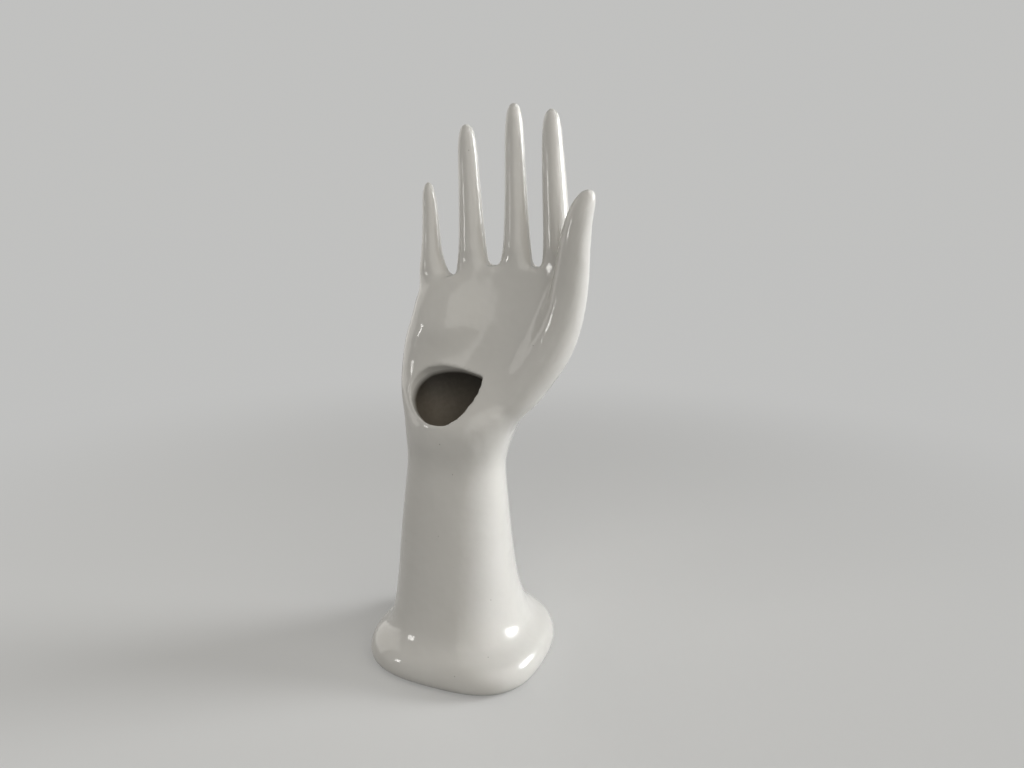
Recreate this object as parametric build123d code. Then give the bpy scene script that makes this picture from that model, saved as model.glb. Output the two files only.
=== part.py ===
from build123d import *
import os
from math import cos, sin, radians

os.makedirs("parts", exist_ok=True)

# Glazed ceramic vase in the form of an upright open right hand.
# The palm looks to -Y, the thumb side is +X, the table is Z = 0. Millimetres.

# Ware
WALL = 6.4            # fired thickness of the cast shells
FLOOR = 7.0           # thickness of the slab that closes the foot
FOOT_RECESS = 2.5     # the slab hangs this far above the table

# Foot: a soft square with a rounded rim, turned a little against the palm
FOOT_X = 2.6
FOOT_Y = -0.1
FOOT_TURN = -6.6
FOOT_WIDER = 0.9      # half of what the foot is wider than deep
# squareness of the corners: back right, back left, front left, front right
FOOT_CORNERS = [2.35, 3.4, 2.9, 3.3]
# height, half size
FOOT_RIM = [(0.0, 46.4), (2.4, 50.7), (7.0, 51.7), (13.4, 49.2)]

# Forearm: height, centre X, half width, half depth, squareness
FOREARM = [
    (20.0, 0.7, 41.0, 40.6, 2.4),
    (30.0, -1.1, 37.5, 37.2, 2.3),
    (45.0, -1.7, 34.9, 34.4, 2.2),
    (68.0, -2.1, 32.7, 31.0, 2.2),
    (92.0, -1.9, 30.5, 27.5, 2.2),
    (119.0, -1.2, 28.0, 23.6, 2.2),
]

# Palm: height, little finger edge X, index edge X, back Y,
# front Y at the little finger edge, on the pad, in the hollow, on the slope, at the thumb edge
PALM = [
    (132.0, -29.2, 30.8, 24.0, -20.5, -25.0, -26.0, -25.5, -20.0),
    (141.0, -30.2, 35.0, 24.7, -19.4, -24.6, -26.0, -25.6, -20.8),
    (152.0, -32.3, 42.0, 25.3, -16.0, -19.4, -19.6, -20.0, -18.8),
    (165.0, -33.5, 48.8, 25.8, -11.4, -9.8, -7.2, -9.4, -13.6),
    (180.0, -32.7, 54.4, 26.0, -9.2, -6.2, -0.4, -2.2, -8.0),
    (194.0, -29.8, 58.4, 26.0, -8.6, -7.0, 1.2, 2.2, -3.0),
    (206.0, -27.2, 60.8, 25.6, -4.2, -2.4, 3.4, 4.8, 1.8),
    (214.0, -26.2, 61.3, 24.4, 0.6, 2.2, 5.4, 6.4, 5.2),
    (219.0, -25.4, 60.8, 22.4, 4.4, 5.2, 6.8, 7.4, 7.2),
    (222.0, -23.4, 59.0, 19.6, 8.0, 8.4, 9.0, 9.4, 9.4),
]

# Upper edge of the palm, a roll that carries the webs: X, height of its middle
PALM_EDGE = [(-16.0, 211.0), (-6.0, 214.4), (18.0, 219.4), (42.0, 219.6), (54.0, 217.6)]
EDGE_Y = 14.0
EDGE_RADIUS = 8.2

# Thumb with the ball of the thumb: height, centre X, centre Y, half width, half depth, turn
THUMB = [
    (126.0, 10.0, -4.0, 12.0, 12.0, 0.0),
    (136.0, 16.8, -6.0, 14.6, 12.8, 0.0),
    (145.0, 23.2, -6.4, 16.0, 12.6, 4.0),
    (160.0, 35.6, -3.8, 17.2, 11.4, 12.0),
    (174.6, 46.3, -1.2, 17.0, 10.6, 16.0),
    (189.4, 54.3, 0.2, 15.3, 10.0, 17.0),
    (204.3, 59.3, 0.4, 13.0, 9.6, 16.0),
    (219.4, 63.1, -1.0, 10.7, 9.0, 12.0),
    (234.5, 65.2, -3.5, 8.5, 8.2, 4.0),
    (250.0, 67.3, -5.4, 7.4, 7.3, 0.0),
    (258.4, 69.7, -6.2, 6.4, 6.2, 0.0),
    (263.6, 71.6, -6.6, 4.4, 4.3, 0.0),
]
THUMB_TIP = (72.8, -6.8, 266.6)

# Fingers: height, left edge X, right edge X, centre Y, half depth, then the tip
LITTLE = [
    (206.0, -26.6, -6.6, 13.3, 8.0),
    (218.0, -26.2, -7.0, 13.4, 8.4),
    (227.6, -25.2, -11.4, 13.6, 7.5),
    (234.0, -24.5, -12.8, 13.8, 6.5),
    (245.0, -23.9, -13.9, 14.4, 5.6),
    (257.0, -23.7, -15.1, 14.9, 4.7),
    (266.0, -23.1, -16.7, 15.0, 3.6),
]
LITTLE_TIP = (-20.0, 15.0, 271.2)
RING = [
    (210.0, -6.0, 17.6, 14.0, 7.4),
    (223.0, -4.6, 16.4, 14.0, 8.4),
    (230.6, -3.0, 14.0, 14.1, 8.4),
    (240.0, -2.5, 12.8, 14.6, 7.6),
    (258.0, -2.5, 10.6, 15.6, 6.6),
    (278.0, -2.9, 8.8, 16.2, 5.8),
    (292.0, -2.7, 7.4, 16.2, 4.9),
    (298.2, -1.4, 5.8, 16.1, 3.5),
]
RING_TIP = (2.1, 16.0, 301.2)
MIDDLE = [
    (212.0, 18.6, 41.0, 14.0, 7.4),
    (226.8, 20.6, 40.4, 14.0, 8.6),
    (232.8, 22.6, 39.0, 14.1, 8.8),
    (242.0, 23.3, 37.9, 14.6, 7.9),
    (262.0, 23.6, 36.1, 15.6, 6.7),
    (284.0, 23.4, 34.7, 16.2, 6.0),
    (302.0, 23.7, 33.4, 16.2, 5.0),
    (308.2, 25.2, 31.9, 16.1, 3.4),
]
MIDDLE_TIP = (28.5, 16.0, 311.2)
INDEX = [
    (211.0, 43.0, 63.2, 13.4, 7.0),
    (227.4, 44.4, 62.4, 13.4, 8.4),
    (233.0, 45.4, 61.4, 13.4, 8.8),
    (242.0, 45.4, 60.2, 13.6, 8.1),
    (261.0, 44.7, 58.7, 14.2, 7.3),
    (284.0, 43.9, 56.2, 14.4, 6.3),
    (299.0, 44.2, 54.2, 14.2, 5.1),
    (304.4, 45.6, 52.8, 14.1, 3.5),
]
INDEX_TIP = (49.2, 14.0, 307.2)

# Mouth: cut square to the sloping heel of the palm; across and up the slope
MOUTH_AT = (-8.0, -12.5, 158.5)
MOUTH_ACROSS = (0.939, -0.344, 0.0)
MOUTH_FACES = (-0.260, -0.709, 0.655)
MOUTH_CORNER = (21.5, 16.4)
MOUTH_EDGE = [
    (22.3, 9.9), (21.0, -0.5), (16.9, -11.1), (9.0, -16.9), (-3.5, -15.5), (-13.4, -7.3),
    (-15.4, -0.2), (-12.9, 6.4), (-3.9, 13.7), (4.0, 16.8), (13.3, 17.4),
]
MOUTH_DEPTH = 17.0

# Hollow in the palm: height, left X, right X, back Y, front Y
HOLLOW = [
    (132.0, -23.0, 23.0, 17.6, -18.6),
    (141.0, -24.2, 24.6, 18.2, -17.8),
    (152.0, -26.2, 25.4, 18.8, -11.4),
    (162.0, -27.4, 25.0, 19.0, -3.2),
    (170.0, -26.2, 23.4, 18.6, 2.8),
    (176.0, -22.0, 19.6, 17.2, 7.0),
    (179.5, -15.0, 13.0, 15.2, 9.8),
]
HOLLOW_SQUARENESS = 2.8

# Seams where the pieces are luted together
FOOT_SEAM = 13.0
WRIST_SEAM = 125.0
THUMB_SEAM = 230.0
FINGER_SEAM = 234.0
LITTLE_SEAM = 229.0

ANGLES = [0, 15, 35, 62, 90, 118, 145, 165, 180, 195, 215, 242, 270, 298, 325, 345]
PARAMETERS = [a / 360 for a in ANGLES] + [1.0]


def outline(points):
    # closed smooth outline through sixteen points, all outlines alike in their spacing
    edge = Edge.make_spline([Vector(*p) for p in points], periodic=True, parameters=PARAMETERS)
    return Face(Wire([edge]))


def soft_square(z, cx, cy, half_x, half_y, squareness, turn=0.0):
    # squareness: one value, or one for each of the four corners
    corners = squareness if isinstance(squareness, list) else [squareness] * 4
    points = []
    for a in ANGLES:
        n = corners[a // 90]
        c = cos(radians(a))
        s = sin(radians(a))
        r = (abs(c / half_x) ** n + abs(s / half_y) ** n) ** (-1 / n)
        b = radians(a + turn)
        points.append((cx + r * cos(b), cy + r * sin(b), z))
    return outline(points)


def palm_section(z, little_x, index_x, back, front_little, pad, front_hollow, slope, front_thumb):
    # plate with rounded edges; the places of its points as fractions of width and depth
    near, corner, inner = 0.027, 0.12, 0.30
    rise, full = 0.29, 0.45
    w = index_x - little_x
    mid_x = (index_x + little_x) / 2
    thumb_c, thumb_d = (back + front_thumb) / 2, back - front_thumb
    little_c, little_d = (back + front_little) / 2, back - front_little
    return outline([
        (index_x, thumb_c, z),
        (index_x - near * w, thumb_c + rise * thumb_d, z),
        (index_x - corner * w, thumb_c + full * thumb_d, z),
        (index_x - inner * w, back - 0.4, z),
        (mid_x, back, z),
        (little_x + inner * w, back - 0.4, z),
        (little_x + corner * w, little_c + full * little_d, z),
        (little_x + near * w, little_c + rise * little_d, z),
        (little_x, little_c, z),
        (little_x + near * w, little_c - rise * little_d, z),
        (little_x + corner * w, little_c - full * little_d, z),
        (little_x + inner * w, pad, z),
        (mid_x, front_hollow, z),
        (index_x - inner * w, slope, z),
        (index_x - corner * w, thumb_c - full * thumb_d, z),
        (index_x - near * w, thumb_c - rise * thumb_d, z),
    ])


def oval(z, cx, cy, half_x, half_y, turn=0.0):
    return soft_square(z, cx, cy, half_x, half_y, 2.0, turn)


def spanning(z, left, right, back, front, squareness):
    middle = ((left + right) / 2, (back + front) / 2)
    half = ((right - left) / 2, (back - front) / 2)
    return soft_square(z, *middle, *half, squareness)


def digit(sections, tip):
    ovals = []
    for z, left, right, y, depth in sections:
        ovals.append(oval(z, (left + right) / 2, y, (right - left) / 2, depth))
    return Solid.make_loft([f.outer_wire() for f in ovals] + [Vertex(*tip)])


def above(solid, z):
    return solid & Pos(0, 0, z) * Box(400, 400, 400, align=(Align.CENTER, Align.CENTER, Align.MIN))


def below(solid, z):
    return solid & Pos(0, 0, z) * Box(400, 400, 400, align=(Align.CENTER, Align.CENTER, Align.MAX))


# Outer form of the trunk: two runs of sections, from the foot up and from the palm down,
# that share the sections about the wrist
foot_faces = []
for z, half in FOOT_RIM:
    wide, deep = half + FOOT_WIDER, half - FOOT_WIDER
    foot_faces.append(soft_square(z, FOOT_X, FOOT_Y, wide, deep, FOOT_CORNERS, FOOT_TURN))
arm_faces = [soft_square(z, cx, 0.0, a, b, n) for z, cx, a, b, n in FOREARM]
palm_faces = [palm_section(*row) for row in PALM]
heel_faces = []
for z, left, right, back, _, _, front, _, _ in PALM[:2]:
    heel_faces.append(spanning(z, left, right, back, front, FOREARM[-1][4]))
arm_form = Solid.make_loft([f.outer_wire() for f in foot_faces + arm_faces + heel_faces])
palm_form = Solid.make_loft([f.outer_wire() for f in arm_faces[-3:] + palm_faces])

# Upper edge of the palm
edge_rounds = []
for x, z in PALM_EDGE:
    upright = Plane(origin=(x, EDGE_Y, z), x_dir=(0, 1, 0), z_dir=(1, 0, 0))
    edge_rounds.append(Wire([Edge.make_circle(EDGE_RADIUS, upright)]))
palm_edge = Solid.make_loft(edge_rounds)

# Hollow of the vase, in two runs as the outer form
arm_hollow = [soft_square(z, cx, 0.0, a - WALL, b - WALL, n) for z, cx, a, b, n in FOREARM]
_, cx, a, b, n = FOREARM[0]
foot_hollow = [soft_square(z, cx, 0.0, a - WALL, b - WALL, n) for z in (0.0, FOOT_RECESS + FLOOR)]
palm_hollow = [spanning(*row, HOLLOW_SQUARENESS) for row in HOLLOW]
arm_well = Solid.make_loft([f.outer_wire() for f in foot_hollow + arm_hollow + palm_hollow[:2]])
palm_well = Solid.make_loft([f.outer_wire() for f in arm_hollow[-3:] + palm_hollow])

# Mouth
heel = Plane(origin=MOUTH_AT, x_dir=MOUTH_ACROSS, z_dir=MOUTH_FACES)
rim = Spline(MOUTH_CORNER, *MOUTH_EDGE, MOUTH_CORNER)
mouth = extrude(heel * make_face(rim), amount=MOUTH_DEPTH, both=True)

# Thumb and fingers, whole, each running down into the palm
thumb_ovals = [oval(*row) for row in THUMB]
thumb_whole = Solid.make_loft([f.outer_wire() for f in thumb_ovals] + [Vertex(*THUMB_TIP)])
little_whole = digit(LITTLE, LITTLE_TIP)
ring_whole = digit(RING, RING_TIP)
middle_whole = digit(MIDDLE, MIDDLE_TIP)
index_whole = digit(INDEX, INDEX_TIP)

# Pieces
floor_slab = below(above(arm_well, FOOT_RECESS), FOOT_RECESS + FLOOR)
base_flange = above(below(arm_form, FOOT_SEAM), 0.0) - arm_well
forearm_shell = below(above(arm_form, FOOT_SEAM), WRIST_SEAM) - arm_well
palm_plate = above(palm_form, WRIST_SEAM) + palm_edge
palm_body = palm_plate + above(below(thumb_whole, THUMB_SEAM), WRIST_SEAM)
palm_body = palm_body + below(little_whole, LITTLE_SEAM) + below(ring_whole, FINGER_SEAM)
palm_body = palm_body + below(middle_whole, FINGER_SEAM) + below(index_whole, FINGER_SEAM)
palm_shell = palm_body - above(palm_well, WRIST_SEAM) - mouth
thumb = above(thumb_whole, THUMB_SEAM) - palm_plate
little_finger = above(little_whole, LITTLE_SEAM) - palm_plate
ring_finger = above(ring_whole, FINGER_SEAM) - palm_plate
middle_finger = above(middle_whole, FINGER_SEAM) - palm_plate
index_finger = above(index_whole, FINGER_SEAM) - palm_plate

pieces = {
    "base_flange": base_flange,
    "floor_slab": floor_slab,
    "forearm_shell": forearm_shell,
    "palm_shell": palm_shell,
    "thumb": thumb,
    "index_finger": index_finger,
    "middle_finger": middle_finger,
    "ring_finger": ring_finger,
    "little_finger": little_finger,
}
for name, piece in pieces.items():
    export_step(piece, f"parts/{name}.step")
    box = piece.bounding_box()
    print(name, len(piece.solids()), round(piece.volume), box.min, box.max)
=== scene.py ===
import bmesh
import bpy
from math import cos, pi, radians, sin
from mathutils import Matrix, Vector
from mathutils.bvhtree import BVHTree


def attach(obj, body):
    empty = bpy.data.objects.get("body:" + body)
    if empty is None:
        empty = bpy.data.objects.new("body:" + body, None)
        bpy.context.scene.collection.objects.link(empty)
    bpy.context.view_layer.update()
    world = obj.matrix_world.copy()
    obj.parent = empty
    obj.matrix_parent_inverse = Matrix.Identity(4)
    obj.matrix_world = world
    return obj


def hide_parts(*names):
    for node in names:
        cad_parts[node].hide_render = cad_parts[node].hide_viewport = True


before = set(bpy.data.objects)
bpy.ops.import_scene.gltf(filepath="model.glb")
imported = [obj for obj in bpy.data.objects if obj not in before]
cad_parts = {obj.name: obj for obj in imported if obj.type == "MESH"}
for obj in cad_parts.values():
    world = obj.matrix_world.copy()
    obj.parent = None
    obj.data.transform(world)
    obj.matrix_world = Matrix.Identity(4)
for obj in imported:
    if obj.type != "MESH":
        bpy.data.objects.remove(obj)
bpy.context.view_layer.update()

# Foot and forearm: a soft square foot with a rounded rim that flares up into the forearm.
# Cast stoneware, worked as level rings from the table to the wrist, in millimetres.
# The foot stands turned a little against the palm, and each of its corners is rounded by itself.
ring_points = 32
foot_middle = (2.6, -0.1)
foot_stretch = 0.9
foot_corners = (2.35, 3.4, 2.9, 3.3)
foot_turn = -6.6
# Height and half width of each ring of the foot.
foot_rows = [
    (0.0, 46.2), (0.3, 48.0), (1.5, 50.4), (3.4, 51.8), (5.2, 52.0),
    (8.4, 51.7), (11.6, 50.6), (14.0, 48.9), (16.0, 46.7),
]
# Height, middle, half width, half depth and squareness of each ring of the forearm.
forearm_rows = [
    (18.2, 1.5, 43.8, 43.2, 2.6),
    (21.8, 0.4, 40.8, 40.3, 2.4),
    (28.6, -0.8, 38.2, 37.8, 2.3),
    (45.0, -1.7, 34.9, 34.4, 2.2),
    (68.0, -2.1, 32.7, 31.0, 2.2),
    (92.0, -1.9, 30.5, 27.5, 2.2),
    (108.0, -1.5, 28.9, 24.9, 2.2),
    (119.0, -1.2, 28.0, 23.6, 2.2),
]


def soft_square_ring(height, middle, half_x, half_y, corners, turn=0.0):
    ring = []
    for i in range(ring_points):
        a = 2 * pi * i / ring_points
        n = corners[i * len(corners) // ring_points]
        reach = (abs(cos(a) / half_x) ** n + abs(sin(a) / half_y) ** n) ** (-1 / n)
        b = a + radians(turn)
        ring.append(Vector((middle[0] + reach * cos(b), middle[1] + reach * sin(b), height)))
    return ring


trunk_rings = [
    soft_square_ring(height, foot_middle, half + foot_stretch, half - foot_stretch, foot_corners, foot_turn)
    for height, half in foot_rows
]
for height, middle_x, half_x, half_y, corner in forearm_rows:
    trunk_rings.append(soft_square_ring(height, (middle_x, 0.0), half_x, half_y, (corner,)))

# Palm: a dished plate that grows out of the wrist, thick at the heel and thin under the fingers.
# Cast in one with the forearm's upper end, its little finger edge a little raised.
# Each ring is drawn through sixteen points: two edges, the back, and the front from edge to edge.
back_crown = 0.4
# Shares of the ring's width, and of its depth at either edge, where those points lie.
edge_in, shoulder_in, flat_in, half_in = 0.027, 0.12, 0.30, 0.50
edge_deep, back_deep, front_deep = 0.29, 0.44, 0.45
# The finger roots stand on an arch, which is highest at its middle.
arch_middle, arch_half = 30.0, 50.0
palm_rows = [
    (132.0, -29.2, 30.8, 24.0, -20.5, -25.0, -26.0, -25.5, -20.0),
    (141.0, -30.2, 35.0, 24.7, -19.4, -24.6, -26.0, -25.6, -20.8),
    (146.0, -31.2, 38.2, 25.0, -18.0, -23.2, -24.4, -24.4, -20.6),
    (152.0, -33.0, 42.0, 25.3, -16.0, -19.0, -19.0, -20.2, -18.8),
    (158.0, -34.3, 45.8, 25.5, -13.8, -14.2, -13.2, -15.6, -16.6),
    (165.0, -34.8, 49.2, 25.8, -11.4, -9.8, -7.2, -10.2, -14.0),
    (172.0, -34.5, 52.2, 26.0, -9.8, -6.8, -2.6, -5.6, -11.4),
    (180.0, -33.5, 54.6, 26.0, -9.2, -6.2, -0.4, -2.0, -9.0),
    (188.0, -31.9, 56.6, 26.0, -9.0, -6.8, 0.6, 0.6, -6.4),
    (194.0, -29.8, 58.4, 26.0, -8.6, -7.0, 1.2, 2.2, -4.0),
    (200.0, -28.2, 59.8, 25.4, -7.0, -5.2, 2.2, 3.8, -1.6, 1.2),
    (206.0, -27.2, 60.8, 24.6, -4.4, -2.4, 3.6, 5.2, 1.8, 3.2),
    (211.0, -26.6, 61.2, 23.6, -1.4, 0.6, 4.8, 6.2, 4.2, 6.6),
    (215.0, -26.2, 61.4, 22.4, 1.6, 3.0, 5.8, 6.8, 6.0, 10.4),
    (217.8, -25.0, 60.0, 20.4, 4.4, 5.2, 7.0, 7.8, 7.8, 12.4),
]


def finger_arch(x):
    return 1 - ((x - arch_middle) / arch_half) ** 2


def palm_ring(height, little_x, index_x, back, front_little, front_left, front_hollow, front_right,
              front_thumb, lift=0.0):
    wide = index_x - little_x
    thumb_mid, thumb_deep = (back + front_thumb) / 2, back - front_thumb
    little_mid, little_deep = (back + front_little) / 2, back - front_little
    drawn = [
        (index_x, thumb_mid),
        (index_x - edge_in * wide, thumb_mid + edge_deep * thumb_deep),
        (index_x - shoulder_in * wide, thumb_mid + back_deep * thumb_deep),
        (index_x - flat_in * wide, back - back_crown),
        (little_x + half_in * wide, back),
        (little_x + flat_in * wide, back - back_crown),
        (little_x + shoulder_in * wide, little_mid + back_deep * little_deep),
        (little_x + edge_in * wide, little_mid + edge_deep * little_deep),
        (little_x, little_mid),
        (little_x + edge_in * wide, little_mid - edge_deep * little_deep),
        (little_x + shoulder_in * wide, little_mid - front_deep * little_deep),
        (little_x + flat_in * wide, front_left),
        (little_x + half_in * wide, front_hollow),
        (index_x - flat_in * wide, front_right),
        (index_x - shoulder_in * wide, thumb_mid - front_deep * thumb_deep),
        (index_x - edge_in * wide, thumb_mid - edge_deep * thumb_deep),
    ]
    points = [Vector((x, y, height + lift * finger_arch(x))) for x, y in drawn]
    ring = []
    for i in range(len(points)):
        before, here, after, beyond = (points[(i + k) % len(points)] for k in (-1, 0, 1, 2))
        # The point halfway follows the curve of its four neighbours.
        ring += [here, (9 * (here + after) - before - beyond) / 16]
    return ring


def lump(name, rings):
    bm = bmesh.new()
    loops = []
    for ring in rings:
        verts = bmesh.ops.create_circle(bm, segments=len(ring), radius=1.0)["verts"]
        for v, place in zip(verts, ring):
            v.co = place
        loops.append(list({e for v in verts for e in v.link_edges}))
    for lower, upper in zip(loops, loops[1:]):
        bmesh.ops.bridge_loops(bm, edges=lower + upper)
    for end in (loops[0], loops[-1]):
        bmesh.ops.contextual_create(bm, geom=end)
    bmesh.ops.recalc_face_normals(bm, faces=bm.faces)
    mesh = bpy.data.meshes.new(name)
    bm.to_mesh(mesh)
    bm.free()
    made = bpy.data.objects.new(name, mesh)
    bpy.context.scene.collection.objects.link(made)
    return made


trunk_rings += [palm_ring(*row) for row in palm_rows]
trunk = lump("trunk", trunk_rings)

# Thumb: a tapering roll that rises out of the heel of the palm as the ball of the thumb.
# Solid clay, luted on in front of the palm and smoothed into it.
oval_points = 24
thumb_rows = [
    (126.0, 10.0, -4.0, 12.0, 12.0),
    (136.0, 16.8, -6.0, 14.6, 12.8),
    (145.0, 22.7, -5.8, 16.0, 13.0, 10.0),
    (152.0, 29.6, -4.4, 16.6, 13.0, 18.0),
    (160.0, 36.6, -2.4, 16.0, 12.6, 25.0),
    (174.6, 48.0, 0.2, 15.0, 11.9, 31.0),
    (189.4, 55.6, 1.0, 13.2, 11.0, 31.0),
    (204.3, 60.4, 0.8, 11.4, 10.3, 27.0),
    (219.4, 63.4, -0.7, 10.0, 9.4, 18.0),
    (234.5, 65.1, -3.4, 8.6, 8.4, 6.0),
    (250.0, 67.3, -5.4, 7.4, 7.3),
    (258.4, 69.8, -6.2, 6.6, 6.4),
    (263.9, 71.9, -6.6, 4.7, 4.6),
    (266.4, 72.8, -6.8, 2.3, 2.3),
]


def oval_ring(height, x, y, half_x, half_y, turn=0.0):
    c, d = cos(radians(turn)), sin(radians(turn))
    ring = []
    for i in range(oval_points):
        a = 2 * pi * i / oval_points
        u, v = half_x * cos(a), half_y * sin(a)
        ring.append(Vector((x + u * c - v * d, y + u * d + v * c, height)))
    return ring


thumb_roll = lump("thumb_roll", [oval_ring(*row) for row in thumb_rows])

# Fingers: four slim tapering rolls with plain rounded tips and no nails.
# Solid clay, each luted on to the top of the palm with a flared root, so that the webs are round.
# A row gives height, left and right side, middle and half depth, and the tip is one last small oval.


def finger_roll(name, rows, tip):
    rings = []
    for height, left, right, y, half_deep in rows:
        rings.append(oval_ring(height, (left + right) / 2, y, (right - left) / 2, half_deep))
    return lump(name, rings + [oval_ring(*tip)])


little_roll = finger_roll("little_roll", [
    (206.0, -26.6, -6.6, 13.3, 8.0), (218.0, -26.4, -6.4, 13.4, 8.4), (223.0, -26.0, -8.6, 13.5, 8.2),
    (227.6, -25.4, -11.2, 13.6, 7.6), (234.0, -24.5, -12.8, 13.8, 6.5), (245.0, -23.9, -13.9, 14.4, 5.6),
    (257.0, -23.8, -15.0, 14.9, 4.8), (266.0, -23.7, -16.3, 15.0, 3.8), (270.0, -22.5, -17.6, 15.0, 2.6),
], (271.8, -20.0, 15.0, 1.2, 1.3))
ring_roll = finger_roll("ring_roll", [
    (210.0, -6.0, 17.6, 14.0, 7.4), (223.0, -4.6, 16.4, 14.0, 8.4), (230.6, -3.0, 14.0, 14.1, 8.4),
    (240.0, -2.5, 12.8, 14.6, 7.6), (258.0, -2.5, 10.6, 15.6, 6.6), (278.0, -3.0, 8.8, 16.2, 5.8),
    (292.0, -3.0, 7.6, 16.2, 5.1), (298.5, -1.9, 6.2, 16.1, 3.8),
], (301.6, 2.1, 16.0, 1.7, 1.7))
middle_roll = finger_roll("middle_roll", [
    (212.0, 18.6, 41.0, 14.0, 7.4), (226.8, 20.6, 40.4, 14.0, 8.6), (232.8, 22.6, 39.0, 14.1, 8.8),
    (242.0, 23.3, 37.9, 14.6, 7.9), (262.0, 23.6, 36.1, 15.6, 6.7), (284.0, 23.4, 34.7, 16.2, 6.0),
    (302.0, 23.5, 33.5, 16.2, 5.1), (308.4, 24.8, 32.2, 16.1, 3.7),
], (311.4, 28.5, 16.0, 1.8, 1.8))
index_roll = finger_roll("index_roll", [
    (211.0, 43.0, 63.2, 13.4, 7.0), (227.4, 44.4, 62.4, 13.4, 8.4), (233.0, 45.4, 61.4, 13.4, 8.8),
    (242.0, 45.4, 60.2, 13.6, 8.1), (261.0, 44.7, 58.7, 14.2, 7.3), (284.0, 43.9, 56.2, 14.4, 6.3),
    (299.0, 44.0, 54.4, 14.2, 5.2), (304.6, 45.3, 53.1, 14.1, 3.8),
], (307.6, 49.2, 14.0, 1.8, 1.8))

# Luting: the rolls are stuck to the trunk with slip, and the joints sponged until they run together.
# The sponge works longest in the valley between palm and thumb and at the finger roots.
# A stroke is the place where the sponge is pressed on, and how far it reaches.
slip_grain = 1.0
joint_passes = (("wet", 120), ("valley", 320), ("", 6))
arch_rise = 10.5
root_low, root_high = 217.5, 218.5
root_places, root_sides = range(-22, 62, 6), ((5.0, 5.0), (22.5, 9.0))
web_places, web_sides = (-18.0, -14.0, 3.0, 9.0, 27.0, 33.0, 50.0, 55.0), (5.0, 22.0)
web_reach = 9.5
strokes = [
    ((8.0, -17.0, 152.0), 10.0), ((14.0, -12.0, 160.0), 13.0), ((57.0, 4.5, 223.0), 10.0),
    ((68.0, 8.0, 216.0), 12.0), ((68.0, 10.0, 204.0), 13.0), ((65.0, 11.0, 192.0), 14.0),
    ((59.0, 11.0, 180.0), 15.0), ((52.0, 10.0, 168.0), 16.0), ((45.0, 7.0, 156.0), 16.0),
    ((34.0, -14.0, 143.0), 15.0), ((37.0, -2.0, 146.0), 15.0), ((30.0, 8.0, 138.0), 14.0),
    ((26.0, -18.0, 134.0), 13.0), ((10.0, -20.0, 133.0), 12.0), ((22.0, -20.0, 148.0), 16.0),
    ((16.0, -24.0, 143.0), 13.0), ((36.0, -8.0, 144.0), 13.0), ((32.0, 7.0, 140.0), 13.0),
    ((-25.0, 10.0, 214.0), 10.0), ((-24.0, 18.0, 214.0), 9.0), ((-6.5, 13.5, 223.0), 7.0),
    ((18.2, 14.0, 229.5), 6.0), ((42.0, 13.7, 229.5), 6.0),
]
strokes += [
    ((x, y, root_low + arch_rise * finger_arch(x)), reach)
    for x in root_places for y, reach in root_sides
]
valley = [
    ((20.0, -12.0, 160.0), 14.0), ((26.0, -10.0, 166.0), 15.0), ((31.0, -8.0, 173.0), 16.0),
    ((37.0, -6.0, 181.0), 16.0), ((42.0, -5.0, 188.0), 16.0), ((46.0, -4.0, 195.0), 16.0),
    ((49.0, -2.0, 202.0), 15.0), ((51.0, 1.0, 209.0), 13.0), ((53.0, 3.0, 216.0), 12.0),
    ((56.0, 3.0, 223.0), 11.0), ((57.0, 3.0, 230.0), 9.0), ((52.0, 5.5, 226.0), 8.0),
    ((-26.0, -7.5, 194.0), 9.0), ((-28.0, -8.5, 186.0), 9.0), ((-29.0, -9.0, 178.0), 9.0),
    ((-29.5, -10.5, 170.0), 9.0),
]
valley += [
    ((x, y, root_high + arch_rise * finger_arch(x)), web_reach)
    for x in web_places for y in web_sides
]


def finish_modifiers(piece):
    graph = bpy.context.evaluated_depsgraph_get()
    done = bpy.data.meshes.new_from_object(piece.evaluated_get(graph))
    piece.modifiers.clear()
    old = piece.data
    piece.data = done
    bpy.data.meshes.remove(old)


def round_off(piece):
    rounding = piece.modifiers.new("rounding", "SUBSURF")
    rounding.levels = rounding.render_levels = 2
    finish_modifiers(piece)


def run_together(piece, grain):
    slip = piece.modifiers.new("slip", "REMESH")
    slip.mode = "VOXEL"
    slip.voxel_size = grain
    finish_modifiers(piece)


def sponge(piece, passes):
    for group, count in passes:
        wipe = piece.modifiers.new("sponge", "SMOOTH")
        wipe.factor = 0.5
        wipe.iterations = count
        wipe.vertex_group = group
    finish_modifiers(piece)


rolls = [trunk, thumb_roll, little_roll, ring_roll, middle_roll, index_roll]
for roll in rolls:
    round_off(roll)
clay = bmesh.new()
for roll in rolls:
    clay.from_mesh(roll.data)
    bpy.data.objects.remove(roll)
mesh = bpy.data.meshes.new("hand")
clay.to_mesh(mesh)
clay.free()
hand = bpy.data.objects.new("hand", mesh)
bpy.context.scene.collection.objects.link(hand)
run_together(hand, slip_grain)
for name, places in (("wet", strokes), ("valley", valley)):
    group = hand.vertex_groups.new(name=name)
    for v in hand.data.vertices:
        soaked = max(1 - (v.co - Vector(place)).length / reach for place, reach in places)
        if soaked > 0:
            group.add([v.index], soaked * soaked * (3 - 2 * soaked), "REPLACE")
sponge(hand, joint_passes)

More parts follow.
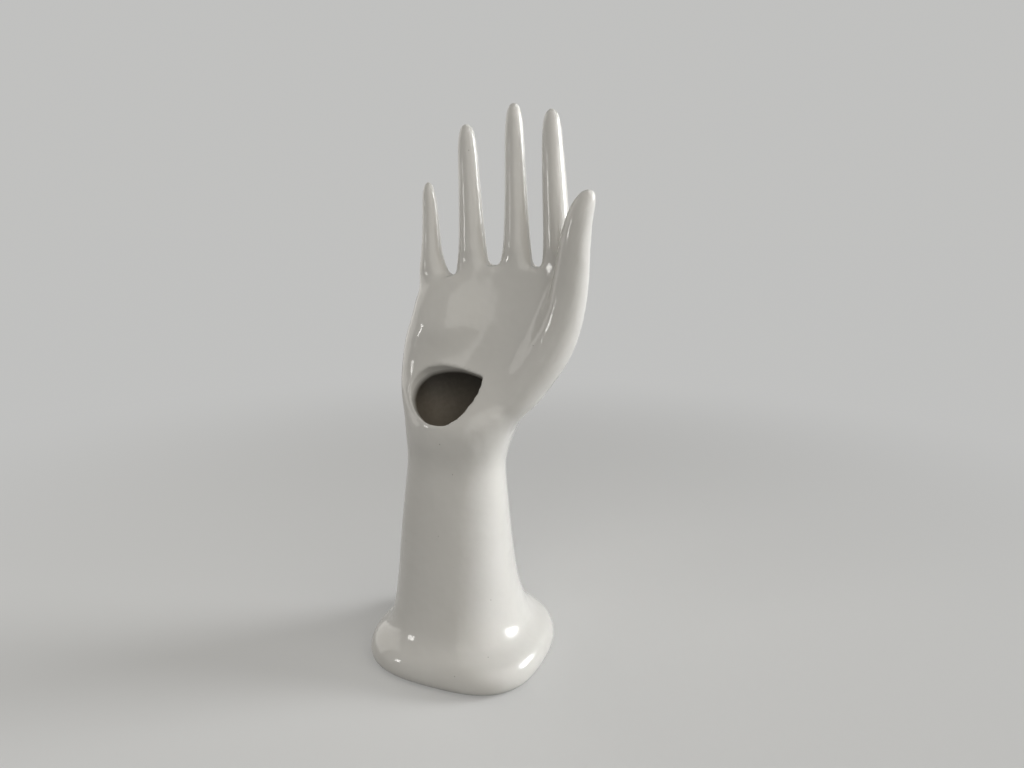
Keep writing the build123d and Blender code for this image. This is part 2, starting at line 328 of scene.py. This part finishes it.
# Hollow and mouth: the forearm and the heel of the palm are hollow, open below and cut open at the heel.
# The wall is six to seven millimetres. The mouth was cut with a knife, along a drop shape with one
# sharp corner, and its rim sponged, so that the glaze runs round it.
wall = 6.4
well_middle = (-0.4, 0.0)
well_half_x, well_half_y = 41.6, 41.2
well_heights = (-6.0, 8.0)
well_corners, heel_corners = (2.6,), (2.8,)
heel_rows = [
    (132.0, -23.2, 22.8, 17.6, -18.4), (141.0, -24.4, 24.0, 18.2, -17.8), (148.0, -25.8, 25.0, 18.6, -14.2),
    (155.0, -27.0, 25.4, 19.0, -9.0), (162.0, -27.8, 25.0, 19.0, -3.2), (169.0, -26.6, 23.6, 18.6, 2.2),
    (175.0, -23.0, 20.4, 17.4, 6.4), (179.0, -16.0, 14.0, 15.6, 9.4), (180.5, -7.0, 6.0, 13.6, 11.6),
]
hollow_rings = [
    soft_square_ring(height, well_middle, well_half_x - wall, well_half_y - wall, well_corners)
    for height in well_heights
]
for height, middle_x, half_x, half_y, corner in forearm_rows:
    hollow_rings.append(soft_square_ring(height, (middle_x, 0.0), half_x - wall, half_y - wall, (corner,)))
for height, left, right, back, front in heel_rows:
    middle = ((left + right) / 2, (back + front) / 2)
    half_x, half_y = (right - left) / 2, (back - front) / 2
    hollow_rings.append(soft_square_ring(height, middle, half_x, half_y, heel_corners))
hollow = lump("hollow", hollow_rings)
round_off(hollow)

mouth_middle = Vector((-8.0, -12.5, 158.5))
across = Vector((0.939, -0.344, 0.0))
along = Vector((0.225, 0.615, 0.755))
outward = Vector((-0.260, -0.709, 0.655))
knife_reach = (-16.0, 18.0)
quarters = (0.0, 0.25, 0.5, 0.75)
knife_marks = [
    (21.1, 16.6), (21.4, 13.6), (22.0, 10.1), (21.9, 4.9), (20.9, -0.5), (19.4, -6.1), (17.0, -11.2),
    (13.2, -15.2), (9.1, -17.0), (3.0, -17.5), (-3.3, -15.6), (-9.5, -11.7), (-13.3, -7.3), (-15.1, -3.9),
    (-15.4, -0.2), (-14.7, 3.0), (-12.8, 6.4), (-9.4, 10.4), (-4.2, 13.6), (-0.2, 15.4), (4.0, 16.7),
    (7.9, 17.4), (13.2, 17.5), (17.9, 17.2), (21.1, 16.6),
]
knife = [mouth_middle + across * u + along * v for u, v in knife_marks]
cut_line = []
for i in range(len(knife) - 1):
    here, after = knife[i], knife[i + 1]
    before, beyond = knife[max(i - 1, 0)], knife[min(i + 2, len(knife) - 1)]
    for t in quarters:
        # The knife runs smoothly through its marks and turns sharply only where the line begins and ends.
        bend = (2 * before - 5 * here + 4 * after - beyond) * t * t
        bend += (3 * here - before - 3 * after + beyond) * t ** 3
        cut_line.append(here + ((after - before) * t + bend) / 2)
mouth = lump("mouth", [[place + outward * reach for place in cut_line] for reach in knife_reach])
for tool in (hollow, mouth):
    cut = hand.modifiers.new("cut", "BOOLEAN")
    cut.operation = "DIFFERENCE"
    cut.solver = "MANIFOLD"
    cut.object = tool
finish_modifiers(hand)

skin_grain = 0.85
mouth_low, mouth_high, mouth_back = 135.0, 182.0, 8.0
rim_reach = 1.8
rim_passes = (("rim", 8), ("", 3))
run_together(hand, skin_grain)
rim = hand.vertex_groups.new(name="rim")
for v in hand.data.vertices:
    if mouth_low < v.co.z < mouth_high and v.co.y < mouth_back:
        near = min((v.co - place - outward * (v.co - place).dot(outward)).length for place in cut_line)
        if near < rim_reach:
            rim.add([v.index], 1.0 - near / rim_reach, "REPLACE")
sponge(hand, rim_passes)

# Where the glaze goes: it stops at the edge of the hollow, whose wall stays bare biscuit, and it gathers
# wherever the surface is hollowed, where painted shade also darkens it. Both are noted on the clay as it
# stands, before it is glazed.
# The clay is all bare up to 1.2 millimetres from the hollow, and glazed from 5.2 on, so the bare biscuit
# covers most of the mouth's cut wall as painted shade.
# Painted shade: the bare reach runs most of the way across the mouth's cut wall and darkens it.
bare_and_shaded_full, bare_and_shaded_fade = 1.3, 4.0
hollow_top = 190.0
# How hollowed each place is, which sets the pooled glaze and the painted shade in the hollows.
pool_and_shade_passes = (("", 60),)
metres = Matrix.Scale(0.001, 4)
inner_skin = BVHTree.FromPolygons(
    [v.co for v in hollow.data.vertices], [p.vertices for p in hollow.data.polygons])


def bareness_and_shade(place):
    if place.z >= hollow_top:
        return 0.0
    return min(1.0, max(0.0, bare_and_shaded_full - inner_skin.find_nearest(place)[3] / bare_and_shaded_fade))


bare_and_shaded_note = hand.data.attributes.new("bare_and_shaded", "FLOAT", "POINT")
bare_and_shaded_note.data.foreach_set("value", [bareness_and_shade(v.co) for v in hand.data.vertices])
bpy.data.objects.remove(hollow)
bpy.data.objects.remove(mouth)
sunk = hand.copy()
sunk.data = hand.data.copy()
bpy.context.scene.collection.objects.link(sunk)
sponge(sunk, pool_and_shade_passes)
pool_and_shade_note = hand.data.attributes.new("pool_and_shade", "FLOAT", "POINT")
pool_and_shade_note.data.foreach_set(
    "value", [(w.co - v.co).dot(v.normal) for v, w in zip(hand.data.vertices, sunk.data.vertices)])
bpy.data.objects.remove(sunk)
hand.data.transform(metres)

# Glaze: a warm white tin glaze over all of the outside, glossy and a little uneven.
# It pools in the hollows, which are also darkened with painted shade, has a few pinholes, and is wiped off
# under the foot.
# The inside is bare biscuit darkened with painted shade, and painted shadow makes it far darker where it
# goes up into the palm.
white_thick, white_thin = (0.80, 0.787, 0.752, 1), (0.775, 0.760, 0.722, 1)
# A darker, warmer white for the hollows: partly pooled glaze, partly painted shade.
pooled_and_shaded_white = (0.70, 0.67, 0.61, 1)
pinhole_brown = (0.16, 0.14, 0.12, 1)
# Bare biscuit colours, their tan darkened further with painted shade.
shaded_biscuit_pale, shaded_biscuit_tan = (0.38, 0.33, 0.265, 1), (0.30, 0.26, 0.205, 1)
# Painted shadow: a far darker biscuit for the top of the hollow, under the palm.
inner_shadow_pale, inner_shadow_tan = (0.10, 0.09, 0.075, 1), (0.07, 0.062, 0.05, 1)
wiped_foot = (0.66, 0.60, 0.50, 1)
foot_wipe, inner_shadow_rise = (0.0004, 0.0011), (0.126, 0.170)
glaze_bend = 1.52
glaze = bpy.data.materials.new("glaze")
glaze.use_nodes = True


class Socket:
    def __init__(self, tree, output=None):
        self.tree = tree
        self.output = output

    def wire(self, made, inputs):
        for name, value in inputs.items():
            if isinstance(value, Socket):
                self.tree.links.new(value.output, made.inputs[name])
            else:
                made.inputs[name].default_value = value

    def node(self, kind, inputs, output=0, **settings):
        made = self.tree.nodes.new("ShaderNode" + kind)
        for name, value in settings.items():
            setattr(made, name, value)
        self.wire(made, inputs)
        return Socket(self.tree, made.outputs[output])

    def math(self, operation, first, second):
        return self.node("Math", {0: first, 1: second}, operation=operation)

    def __add__(self, other):
        return self.math("ADD", self, other)

    def __sub__(self, other):
        return self.math("SUBTRACT", self, other)

    def __rsub__(self, other):
        return self.math("SUBTRACT", other, self)

    def __mul__(self, other):
        return self.math("MULTIPLY", self, other)

    __radd__ = __add__
    __rmul__ = __mul__

    def larger(self, other):
        return self.math("MAXIMUM", self, other)

    def between(self, low, high):
        limits = {"Value": self, "From Min": low, "From Max": high}
        return self.node("MapRange", limits, interpolation_type="SMOOTHSTEP")

    def blend(self, first, second):
        return self.node("Mix", {"Factor": self, 6: first, 7: second}, 2, data_type="RGBA")


start = Socket(glaze.node_tree)
place = start.node("TexCoord", {}, "Object")
height = start.node("SeparateXYZ", {0: place}, "Z")
bare_and_shaded = start.node("Attribute", {}, "Fac", attribute_name="bare_and_shaded")
pool_and_shade = start.node("Attribute", {}, "Fac", attribute_name="pool_and_shade")
cloud = start.node("TexNoise", {"Vector": place, "Scale": 22.0, "Detail": 3.0})
grain = start.node("TexNoise", {"Vector": place, "Scale": 420.0, "Detail": 2.0})
wave = start.node("TexNoise", {"Vector": place, "Scale": 110.0, "Detail": 1.0})
pit = start.node("TexVoronoi", {"Vector": place, "Scale": 95.0}, "Distance")
pinhole = 1.0 - pit.between(0.012, 0.042)
skin = cloud.between(0.35, 0.65).blend(white_thick, white_thin)
# Hollows turn darker and warmer: pooled glaze together with painted shade.
skin = pool_and_shade.between(0.05, 0.9).blend(skin, pooled_and_shaded_white)
skin = (pinhole * 0.6).blend(skin, pinhole_brown)
# Painted shadow darkens the inside of the hollow from 126 to 170 millimetres up.
inner_shadow = height.between(*inner_shadow_rise)
mottle = (cloud * 0.7 + grain * 0.3).between(0.35, 0.65)
shaded_biscuit = mottle.blend(inner_shadow.blend(shaded_biscuit_pale, inner_shadow_pale), inner_shadow.blend(shaded_biscuit_tan, inner_shadow_tan))
# Bare biscuit on the inside, and over the mouth's cut wall as painted shade.
skin = bare_and_shaded.blend(skin, shaded_biscuit)
wiped = 1.0 - height.between(*foot_wipe)
skin = wiped.blend(skin, wiped_foot)
uneven = wave * 1.1 + grain * 0.05 - pinhole * 0.2
start.wire(glaze.node_tree.nodes["Principled BSDF"], {
    "IOR": glaze_bend,
    "Base Color": skin,
    "Roughness": 0.09 + cloud * 0.06 + bare_and_shaded.larger(wiped) * 0.5,
    "Normal": start.node("Bump", {"Strength": 0.35, "Distance": 0.001, "Height": uneven}),
})

# Pieces: the ware is cut where its cast and rolled parts were luted, so that each can be taken by itself.
# All are the same glazed stoneware, and each keeps the run of the whole over its seams.
# A digit has the height of its seam and the middle of its root, in metres.
foot_seam, wrist_seam = 0.013, 0.125
digits = {
    "little_finger": (0.229, Vector((-0.0190, 0.0138))),
    "ring_finger": (0.234, Vector((0.0060, 0.0143))),
    "middle_finger": (0.234, Vector((0.0305, 0.0143))),
    "index_finger": (0.234, Vector((0.0528, 0.0136))),
    "thumb": (0.230, Vector((0.0645, -0.0030))),
}
root_margin = 0.003
cut_tolerance, seam_tolerance = 1e-7, 1e-5


def note_run(bm):
    run = bm.verts.layers.float_vector.new("run")
    for v in bm.verts:
        v[run] = v.normal


def column(bm, name):
    own = set()
    for v in bm.verts:
        if v.co.z > digits[name][0] - root_margin:
            nearest = min(digits, key=lambda digit: (v.co.xy - digits[digit][1]).length)
            if nearest == name:
                own.add(v)
    return [f for f in bm.faces if own.issuperset(f.verts)]


def slice_at(bm, faces, seam, keep):
    geom = list({v for f in faces for v in f.verts}) + list({e for f in faces for e in f.edges}) + faces
    bmesh.ops.bisect_plane(
        bm, geom=geom, dist=cut_tolerance, plane_co=(0, 0, seam), plane_no=(0, 0, 1),
        clear_outer=keep == "below", clear_inner=keep == "above")


def close_seams(bm, seams):
    caps = set()
    for seam in seams:
        level = {v for v in bm.verts if abs(v.co.z - seam) < seam_tolerance}
        edges = [e for e in bm.edges if e.is_boundary and level.issuperset(e.verts)]
        filled = bmesh.ops.triangle_fill(bm, use_beauty=True, edges=edges)["geom"]
        caps |= {f for f in filled if isinstance(f, bmesh.types.BMFace)}
    return caps


def ware(name, bm, caps):
    bmesh.ops.recalc_face_normals(bm, faces=bm.faces)
    run = bm.verts.layers.float_vector["run"]
    normals = []
    for f in bm.faces:
        f.smooth = True
        normals += [f.normal.copy() if f in caps else corner.vert[run].normalized() for corner in f.loops]
    mesh = bpy.data.meshes.new("glazed_" + name)
    bm.to_mesh(mesh)
    bm.free()
    mesh.normals_split_custom_set(normals)
    mesh.materials.append(glaze)
    piece = bpy.data.objects.new("glazed_" + name, mesh)
    bpy.context.scene.collection.objects.link(piece)
    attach(piece, "root")
    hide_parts(name)


hand_clay = bmesh.new()
hand_clay.from_mesh(hand.data)
bpy.data.objects.remove(hand)
note_run(hand_clay)
palm = hand_clay.copy()
for name, (seam, middle) in digits.items():
    roll = hand_clay.copy()
    kept = set(column(roll, name))
    bmesh.ops.delete(roll, geom=[f for f in roll.faces if f not in kept], context="FACES")
    slice_at(roll, list(roll.faces), seam, "above")
    ware(name, roll, close_seams(roll, [seam]))
    slice_at(palm, column(palm, name), seam, "below")
slice_at(palm, list(palm.faces), wrist_seam, "above")
root_seams = sorted({seam for seam, middle in digits.values()})
ware("palm_shell", palm, close_seams(palm, [wrist_seam] + root_seams))
forearm = hand_clay.copy()
slice_at(forearm, list(forearm.faces), wrist_seam, "below")
slice_at(forearm, list(forearm.faces), foot_seam, "above")
ware("forearm_shell", forearm, close_seams(forearm, [foot_seam, wrist_seam]))
slice_at(hand_clay, list(hand_clay.faces), foot_seam, "below")
ware("base_flange", hand_clay, close_seams(hand_clay, [foot_seam]))

# Floor slab: a flat plate of clay, rolled out and cut to the soft square of the hollow, its edges eased.
# It is luted into the foot a little above the table, so that the vase stands on its ring.
slab_gap = 0.1
slab_rows = [(2.5, 3.0), (2.5, 1.0), (2.8, 0.3), (3.4, 0.0), (8.7, 0.0), (9.2, 0.3), (9.5, 1.0), (9.5, 3.0)]
slab_half_x, slab_half_y = well_half_x - slab_gap - wall, well_half_y - slab_gap - wall
slab = lump("slab", [
    soft_square_ring(height, well_middle, slab_half_x - inset, slab_half_y - inset, well_corners)
    for height, inset in slab_rows
])
slab.data.transform(metres)
plate = bmesh.new()
plate.from_mesh(slab.data)
bpy.data.objects.remove(slab)
note_run(plate)
ware("floor_slab", plate, {f for f in plate.faces if len(f.verts) > 4})

# Floor: a plain pale sheet, painted matt, that the ware stands on.
# Near the ware it takes the light and the shadow, and further off it fades to one even pale tone.
# The light that it throws back on the ware is that of a darker sheet than the one that the eye sees.
floor_half = 6.0
fade_from, fade_to = 0.12, 0.75
black = (0.0, 0.0, 0.0, 1)
near_paint, unseen_paint = (0.60, 0.60, 0.59, 1), (0.12, 0.12, 0.117, 1)
near_glow, far_glow = (0.17, 0.17, 0.168, 1), (0.53, 0.53, 0.522, 1)


def seen_ray(start):
    seen = start.node("LightPath", {}, "Is Camera Ray")
    for kind in ("Is Glossy Ray", "Is Transmission Ray"):
        seen = seen.larger(start.node("LightPath", {}, kind))
    return seen


bm = bmesh.new()
bmesh.ops.create_grid(bm, x_segments=1, y_segments=1, size=floor_half)
mesh = bpy.data.meshes.new("floor")
bm.to_mesh(mesh)
bm.free()
floor = bpy.data.objects.new("floor", mesh)
bpy.context.scene.collection.objects.link(floor)
pale = bpy.data.materials.new("pale_floor")
pale.use_nodes = True
start = Socket(pale.node_tree)
place = start.node("TexCoord", {}, "Object")
far = start.node("VectorMath", {0: place}, "Value", operation="LENGTH").between(fade_from, fade_to)
seen = seen_ray(start)
start.wire(pale.node_tree.nodes["Principled BSDF"], {
    "Base Color": seen.blend(unseen_paint, far.blend(near_paint, black)),
    "Emission Color": seen.blend(black, far.blend(near_glow, far_glow)),
    "Emission Strength": 1.0,
    "Roughness": 0.8,
    "Specular IOR Level": 0.0,
})
mesh.materials.append(pale)

# Room light: a small cool window behind on the right, a broad warm door in front on the right,
# a pale wall and a narrow pane on the left, and a faint even fill from the room.
# The eye sees the room in the same pale tone as the far floor.
fill_strength = 0.09
fill_tint, seen_tint = (1.0, 0.975, 0.93, 1), (5.9, 5.9, 5.8, 1)
arm_middle, hand_middle, finger_roots = (0.0, 0.0, 0.17), (0.01, 0.0, 0.22), (0.0, 0.0, 0.25)
world = bpy.data.worlds.new("room")
bpy.context.scene.world = world
world.use_nodes = True
start = Socket(world.node_tree)
start.wire(world.node_tree.nodes["Background"], {
    "Color": seen_ray(start).blend(fill_tint, seen_tint),
    "Strength": fill_strength,
})


def soft_box(name, place, aim, wide, tall, watts, tint, spread=180.0):
    lamp = bpy.data.lights.new(name, "AREA")
    lamp.shape = "RECTANGLE"
    lamp.size, lamp.size_y = wide, tall
    lamp.energy = watts
    lamp.color = tint
    lamp.spread = radians(spread)
    made = bpy.data.objects.new(name, lamp)
    bpy.context.scene.collection.objects.link(made)
    made.location = place
    made.rotation_mode = "QUATERNION"
    made.rotation_quaternion = (Vector(aim) - Vector(place)).to_track_quat("-Z", "Y")


soft_box("window", (1.27, 0.51, 0.56), hand_middle,
         wide=0.6, tall=0.6, watts=1.45, tint=(0.97, 0.985, 1.0), spread=40.0)
soft_box("door", (0.85, -0.87, 0.71), hand_middle,
         wide=2.4, tall=2.0, watts=14.0, tint=(1.0, 0.975, 0.925))
soft_box("left_wall", (-1.31, 0.33, 0.53), arm_middle,
         wide=1.4, tall=1.2, watts=5.5, tint=(1.0, 0.97, 0.91))
soft_box("pane", (-1.1, -0.86, 0.34), finger_roots,
         wide=0.2, tall=0.26, watts=1.7, tint=(1.0, 0.98, 0.95))

# Camera: it stands in front and to the right, a little below the fingertips, and looks slightly down.
# Its place is in metres, and its focal length in pixels of a picture 1024 pixels wide.
sensor_wide = 36.0
focal_pixels, photo_pixels = 720.0, 1024.0
nearest_seen = 0.01
camera_place = Vector((0.1313, -0.3717, 0.2550))
ahead = Vector((-0.2518, 0.9396, -0.2317)).normalized()
right = Vector((0.9659, 0.2588, 0.0)).normalized()
up = right.cross(ahead)
lens = bpy.data.cameras.new("camera")
lens.sensor_width = sensor_wide
lens.lens = focal_pixels / photo_pixels * sensor_wide
lens.clip_start = nearest_seen
camera = bpy.data.objects.new("camera", lens)
bpy.context.scene.collection.objects.link(camera)
camera.matrix_world = Matrix((
    (right.x, up.x, -ahead.x, camera_place.x),
    (right.y, up.y, -ahead.y, camera_place.y),
    (right.z, up.z, -ahead.z, camera_place.z),
    (0, 0, 0, 1),
))
bpy.context.scene.camera = camera
bpy.context.scene.view_settings.view_transform = "Standard"
